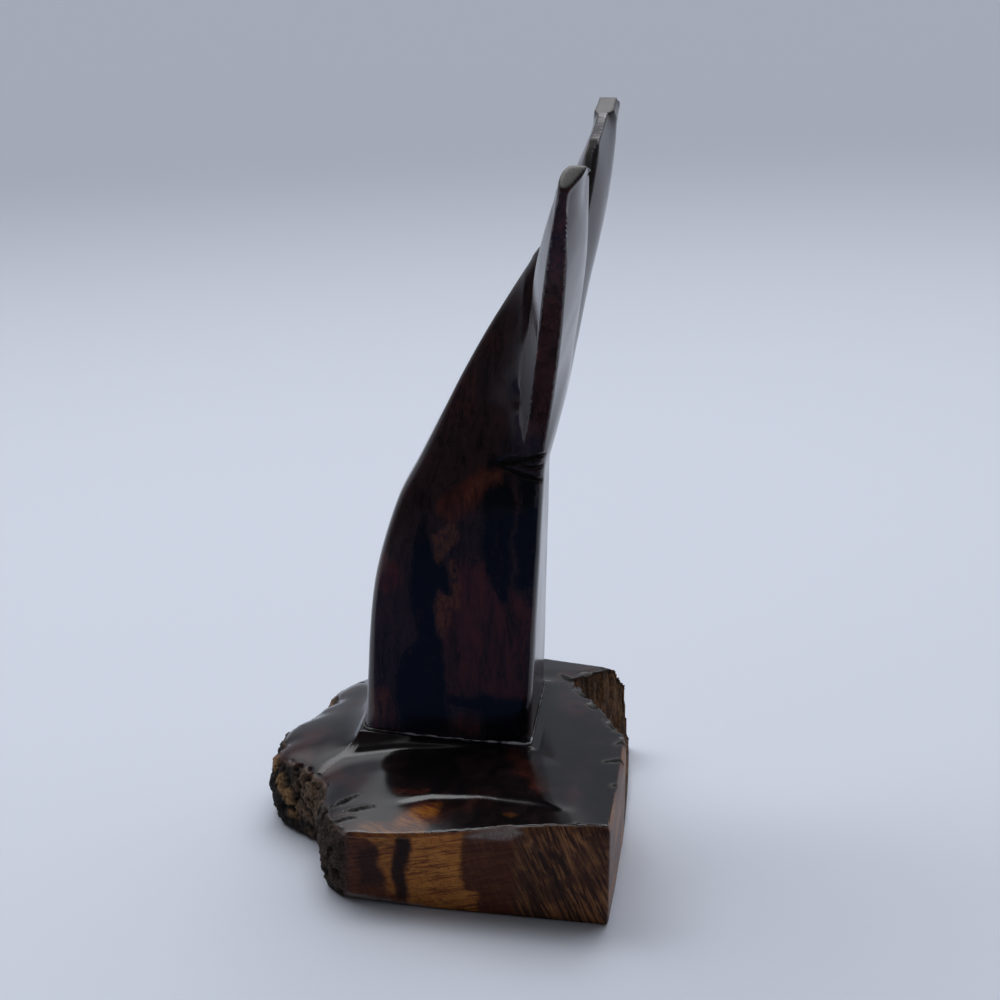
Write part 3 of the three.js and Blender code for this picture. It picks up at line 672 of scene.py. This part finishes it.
# Pale grey for plane-cut wood, partly a painted sheen
PLANED_AND_SHEEN = (0.29, 0.250, 0.238)
BARK, BARK_DARK = (0.046, 0.031, 0.021), (0.0100, 0.0080, 0.0072)
UMBER, CRUST = (0.080, 0.046, 0.028), (0.190, 0.122, 0.076)
SAPWOOD, SAPWOOD_DARK = (0.46, 0.270, 0.120), (0.24, 0.130, 0.056)
SPLINTER = (0.230, 0.118, 0.055)
# Pale finish that is partly painted glints, and a near white for a painted highlight
FINISH_AND_GLINT, GLINT = (0.10, 0.096, 0.092), (0.74, 0.74, 0.78)
PIN_LIGHT, PIN_DARK = (0.50, 0.30, 0.13), (0.34, 0.18, 0.07)


def heartwood():
    """Polished dark wood with ink bands, amber patches and bare tips; the tips' pale grey and the pale grey
    at the fluke's root are painted reflections, and the cracks and notch carry painted shade.
    """
    material, tree, place, shader = wood("polished_heartwood", 0.5)
    streak = fleck(tree, place, (2.6, 2.6, 12), 6, 0.68, warp=0.6)
    cloud = fleck(tree, place, (13, 13, 20), 4)
    grit = fleck(tree, place, (0.8, 0.8, 1.7), 5, 0.75)
    pore = fleck(tree, place, (0.28, 0.28, 3.2), 3, 0.6)
    smear = fleck(tree, place, (9, 9, 14), 3)
    crack, bare_tip_sheen, painted_sheen = (mark(tree, name) for name in ("crack", "bare_tip_sheen", "painted_sheen"))
    shake = math_node(tree, "SUBTRACT", math_node(tree, "ADD", grit, streak), 1)

    def ragged(name, share):
        """A mark whose border is broken up by the grain."""
        return step(tree, math_node(tree, "ADD", mark(tree, name), times(tree, shake, share)), 0.15, 0.85)

    colour = over(tree, step(tree, streak, 0.3, 0.6, 0.25, 1), BLACK, DARK)
    colour = over(tree, step(tree, cloud, 0.55, 0.8, 0, 0.25), colour, RUDDY)
    ruddy = times(tree, ragged("ruddy", 1.2), step(tree, streak, 0.3, 0.66, 0.25, 0.7))
    colour = over(tree, ruddy, colour, RUDDY)
    colour = over(tree, times(tree, ragged("ink", 1.6), 0.94), colour, INK)
    amber = times(tree, ragged("amber", 1.6), step(tree, grit, 0.35, 0.62, 0.05, 0.5))
    colour = over(tree, amber, colour, AMBER)
    colour = over(tree, step(tree, pore, 0.6, 0.74, 0, 0.55), colour, BLACK)
    # Painted reflection: pale grey at the fluke's root and on the far tip
    colour = over(tree, times(tree, painted_sheen, 0.6), colour, SHEEN_GREY)
    # Bare tips, their pale grey also a painted reflection of the sky
    colour = over(tree, bare_tip_sheen, colour, over(tree, step(tree, pore, 0.35, 0.65), DRAB, DRAB_DARK))
    # Painted shade: near black in the knot's cracks and the notch
    colour = over(tree, times(tree, crack, 0.9), colour, PORE_AND_SHADE_BLACK)
    tree.links.new(colour, shader.inputs["Base Color"])

    polish = step(tree, smear, 0.3, 0.75, 0.12, 0.2)
    dull = most(tree, times(tree, crack, 0.75), times(tree, most(tree, bare_tip_sheen, painted_sheen), 0.4))
    tree.links.new(math_node(tree, "ADD", polish, dull), shader.inputs["Roughness"])
    bump = add(tree, "ShaderNodeBump", {"Height": pore, "Strength": 0.06, "Distance": 0.00025})
    tree.links.new(bump.outputs[0], shader.inputs["Normal"])
    return material


def burl():
    """The slab: polished top, sawn and plane-cut faces, bark and split wood, each by its mark; the pale grey
    of the plane-cut faces is partly a painted sheen, and the cracks, chips and hollows carry painted shade.
    """
    material, tree, place, shader = wood("burl_slab")
    gold, stripes, ruddy, sawn, raw, crack, hollow, split, crust, honey, planed_and_sheen, streak_dark = (
        mark(tree, name) for name in (
            "gold", "stripes", "ruddy", "sawn", "raw", "crack", "hollow", "split", "crust", "honey",
            "planed_and_sheen", "streak_dark")
    )
    swirl = fleck(tree, place, (7, 7, 5), 5, 0.6, warp=0.8)
    cloud = fleck(tree, place, (9, 9, 9), 3, warp=1.0)
    smear = fleck(tree, place, (10, 10, 10), 3)
    curl = fleck(tree, place, (3, 3, 1.5), 6, 0.65, warp=2.2)
    fine = fleck(tree, place, (0.7, 0.7, 0.7), 4, 0.65)
    saw_flat = fleck(tree, place, (6, 9, 0.5), 4, 0.65, (math.radians(14), 0, 0))
    saw_steep = fleck(tree, place, (6, 8, 0.7), 5, 0.7, (math.radians(-66), 0, 0), 0.5)
    diagonal = fleck(tree, place, (0.9, 5, 5), 4, 0.6, (0, 0, math.radians(-31)))
    fibre = fleck(tree, place, (0.8, 0.8, 9), 4, 0.6, (0, math.radians(16), 0))

    polished = over(tree, step(tree, swirl, 0.4, 0.75, 0, 0.5), BLACK, DARK)
    glow = times(tree, ruddy, step(tree, swirl, 0.3, 0.65, 0.1, 0.6))
    polished = over(tree, glow, polished, RUDDY)
    lit = over(tree, step(tree, diagonal, 0.36, 0.62), RUDDY, HONEY)
    colour = over(tree, gold, polished, lit)

    brown = over(tree, step(tree, saw_flat, 0.36, 0.64), BROWN_DARK, BROWN)
    brown = over(tree, step(tree, saw_steep, 0.46, 0.66, 0, 0.5), brown, BROWN_STREAK)
    bright = over(tree, step(tree, swirl, 0.35, 0.65), GOLD, GOLD_LIGHT)
    bright = over(tree, step(tree, saw_flat, 0.36, 0.52), GOLD_DARK, bright)
    cut = over(tree, gold, brown, bright)
    cut = over(tree, step(tree, curl, 0.5, 0.68, 0, 0.6), cut, CURL)
    slant = over(tree, step(tree, saw_steep, 0.42, 0.62), SLANT_DARK, SLANT)
    slant = over(tree, step(tree, swirl, 0.45, 0.68, 0, 0.65), slant, SLANT_SWIRL)
    slant = over(tree, step(tree, cloud, 0.42, 0.6, 0, 0.6), slant, SLANT_CLOUD)
    cut = over(tree, stripes, cut, slant)
    cut = over(tree, times(tree, streak_dark, 0.85), cut, STREAK)
    cut = over(tree, step(tree, fine, 0.58, 0.74, 0, 0.4), cut, PORE_AND_SHADE_BLACK)
    # Chamfers and right face: plane-cut wood, partly a painted sheen
    cut = over(tree, times(tree, planed_and_sheen, step(tree, fine, 0.35, 0.7, 0.85, 0.45)), cut, PLANED_AND_SHEEN)
    worked = most(tree, sawn, planed_and_sheen)
    colour = over(tree, worked, colour, cut)

    bark = over(tree, step(tree, fine, 0.42, 0.64), BARK_DARK, BARK)
    bark = over(tree, crust, bark, over(tree, step(tree, fine, 0.36, 0.62), UMBER, CRUST))
    bark = over(tree, honey, bark, over(tree, step(tree, fine, 0.3, 0.6), SAPWOOD, SAPWOOD_DARK))
    bark = over(tree, split, bark, over(tree, step(tree, fibre, 0.36, 0.62), UMBER, SPLINTER))
    # Painted shade: near black in the deepest hollows and torn grooves
    bark = over(tree, hollow, bark, PORE_AND_SHADE_BLACK)
    colour = over(tree, raw, colour, bark)
    # Painted shade: near black in the cracks and chips
    colour = over(tree, times(tree, crack, 0.92), colour, PORE_AND_SHADE_BLACK)
    tree.links.new(colour, shader.inputs["Base Color"])

    rough = blend(tree, worked, step(tree, smear, 0.3, 0.75, 0.1, 0.18), 0.6)
    tree.links.new(blend(tree, raw, rough, 0.82), shader.inputs["Roughness"])
    saw_marks = times(tree, blend(tree, stripes, saw_flat, saw_steep), sawn)
    crumble = times(tree, fine, most(tree, raw, times(tree, sawn, 0.4)))
    height = math_node(tree, "ADD", saw_marks, crumble)
    bump = add(tree, "ShaderNodeBump", {"Height": height, "Strength": 0.5, "Distance": 0.0006})
    tree.links.new(bump.outputs[0], shader.inputs["Normal"])
    return material


def finish():
    """Finish in the seam, lightened in patches as painted glints, with a pale line on the near side that is a
    painted highlight.
    """
    material, tree, place, shader = wood("seam_finish")
    cloud = fleck(tree, place, (5, 5, 5), 3)
    broken = fleck(tree, place, (1.6, 3.5, 1.6), 4)
    where = add(tree, "ShaderNodeSeparateXYZ", {0: place})
    near_side = step(tree, where.outputs["X"], 13.4 * MM, 14.2 * MM)
    near_side = times(tree, near_side, step(tree, where.outputs["Y"], -14 * MM, -2 * MM))
    # Painted highlight: a pale broken line on the near side of the bead
    glint = times(tree, near_side, step(tree, broken, 0.3, 0.55, 0.15, 1))
    # Finish, pale in patches that are partly painted glints
    colour = over(tree, step(tree, cloud, 0.4, 0.65), DARK, FINISH_AND_GLINT)
    tree.links.new(over(tree, glint, colour, GLINT), shader.inputs["Base Color"])
    tree.links.new(step(tree, cloud, 0.3, 0.7, 0.06, 0.2), shader.inputs["Roughness"])
    return material


def dowel_wood():
    """Plain pale wood with straight fibres."""
    material, tree, place, shader = wood("dowel_wood")
    fibre = fleck(tree, place, (0.5, 0.5, 9), 4, 0.6)
    colour = over(tree, step(tree, fibre, 0.35, 0.65), PIN_LIGHT, PIN_DARK)
    tree.links.new(colour, shader.inputs["Base Color"])
    tree.links.new(step(tree, fibre, 0.3, 0.7, 0.55, 0.75), shader.inputs["Roughness"])
    return material


tail.mesh.materials.append(heartwood())
base.mesh.materials.append(burl())
bead.data.materials.append(finish())
pin_wood = dowel_wood()
for name in ("dowel_front", "dowel_rear"):
    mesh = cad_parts[name].data
    mesh.materials.clear()
    mesh.materials.append(pin_wood)

for piece, node, slot in (
    (tail.piece, "whale_tail", "polished_heartwood"),
    (base.piece, "base", "burl_slab"),
):
    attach(piece, "root")
    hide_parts(node)
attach(bead, "root")

# Floor, light and camera, in metres
FLOOR_REACH, FLOOR_SIDES = 20.0, 96
PAPER = (0.74, 0.777, 0.869)
CARD = [(0.06, -0.8, 0.001), (9, -4, 0.001), (9, 4, 0.001), (0.06, 0.8, 0.001)]
CARD_COLOUR = (0.05, 0.075, 0.18)
DIM_SIDE = (0.97, 0.12, 0.2)  # direction of the room's unlit side
SKY_LOW, SKY_HIGH = (0.40, 0.425, 0.485), (2.35, 2.4, 2.5)
BACKDROP = (0.36, 0.385, 0.45, 1)  # what the camera sees past the floor
LAMP_PLACE, LAMP_AIM = (-0.4, -0.22, 0.9), (0.05, 0.02, 0)
LAMP_SIZE, LAMP_POWER, LAMP_SPREAD, LAMP_COLOUR = (1.4, 0.3), 2.45, 2.2, (0.96, 0.98, 1)
CAMERA_PLACE, CAMERA_AIM = (0.35713, 0.05614, 0.2049), (0, 0.010758, 0.076937)
CAMERA_LENS, CAMERA_SENSOR = 60.2, 36  # millimetres


def flat_face(name, points, colour, roughness, specular):
    """One flat face of an even matt colour."""
    mesh = bpy.data.meshes.new(name)
    mesh.from_pydata(points, [], [range(len(points))])
    material = bpy.data.materials.new(name)
    material.use_nodes = True
    sockets = material.node_tree.nodes["Principled BSDF"].inputs
    sockets["Base Color"].default_value = (*colour, 1)
    sockets["Roughness"].default_value = roughness
    sockets["Specular IOR Level"].default_value = specular
    mesh.materials.append(material)
    piece = bpy.data.objects.new(name, mesh)
    scene.collection.objects.link(piece)
    return piece


turns = [2 * math.pi * k / FLOOR_SIDES for k in range(FLOOR_SIDES)]
ring = [(FLOOR_REACH * math.cos(turn), FLOOR_REACH * math.sin(turn), 0) for turn in turns]
floor = flat_face("floor", ring, PAPER, 0.9, 0.1)

# A dark card by the camera, seen only in the polish, as the unlit side of the room
card = flat_face("dark_card", CARD, CARD_COLOUR, 1, 0)
for ray in ("camera", "diffuse", "shadow", "transmission", "volume_scatter"):
    setattr(card, "visible_" + ray, False)

# A room that is bright behind and above, and dim in front
world = bpy.data.worlds.new("studio")
world.use_nodes = True
scene.world = world
sky = world.node_tree
sky.nodes.clear()
facing = add(sky, "ShaderNodeTexCoord").outputs["Generated"]
toward = add(sky, "ShaderNodeVectorMath", {0: facing, 1: DIM_SIDE}, operation="DOT_PRODUCT")
room = step(sky, toward.outputs["Value"], -0.5, 0.25, 1.0, 0.04)
upward = add(sky, "ShaderNodeSeparateXYZ", {0: facing}).outputs["Z"]
tint = over(sky, step(sky, upward, 0.5, 0.75), SKY_LOW, SKY_HIGH)
studio = add(sky, "ShaderNodeBackground", {"Color": tint, "Strength": room})
backdrop = add(sky, "ShaderNodeBackground", {"Color": BACKDROP})
seen = add(sky, "ShaderNodeLightPath").outputs["Is Camera Ray"]
shown = add(sky, "ShaderNodeMixShader", {0: seen, 1: studio.outputs[0], 2: backdrop.outputs[0]})
add(sky, "ShaderNodeOutputWorld", {"Surface": shown.outputs[0]})

window_light = bpy.data.lights.new("window", "AREA")
window_light.shape = "RECTANGLE"
window_light.size, window_light.size_y = LAMP_SIZE
window_light.energy = LAMP_POWER
window_light.spread = LAMP_SPREAD
window_light.color = LAMP_COLOUR
window = bpy.data.objects.new("window", window_light)
camera_data = bpy.data.cameras.new("photo_view")
camera_data.sensor_width = CAMERA_SENSOR
camera_data.lens = CAMERA_LENS
camera_data.clip_start = 0.01
camera = bpy.data.objects.new("photo_view", camera_data)
for item, place, aim in ((window, LAMP_PLACE, LAMP_AIM), (camera, CAMERA_PLACE, CAMERA_AIM)):
    item.location = place
    item.rotation_euler = (Vector(aim) - Vector(place)).to_track_quat("-Z", "Y").to_euler()
    scene.collection.objects.link(item)
scene.camera = camera
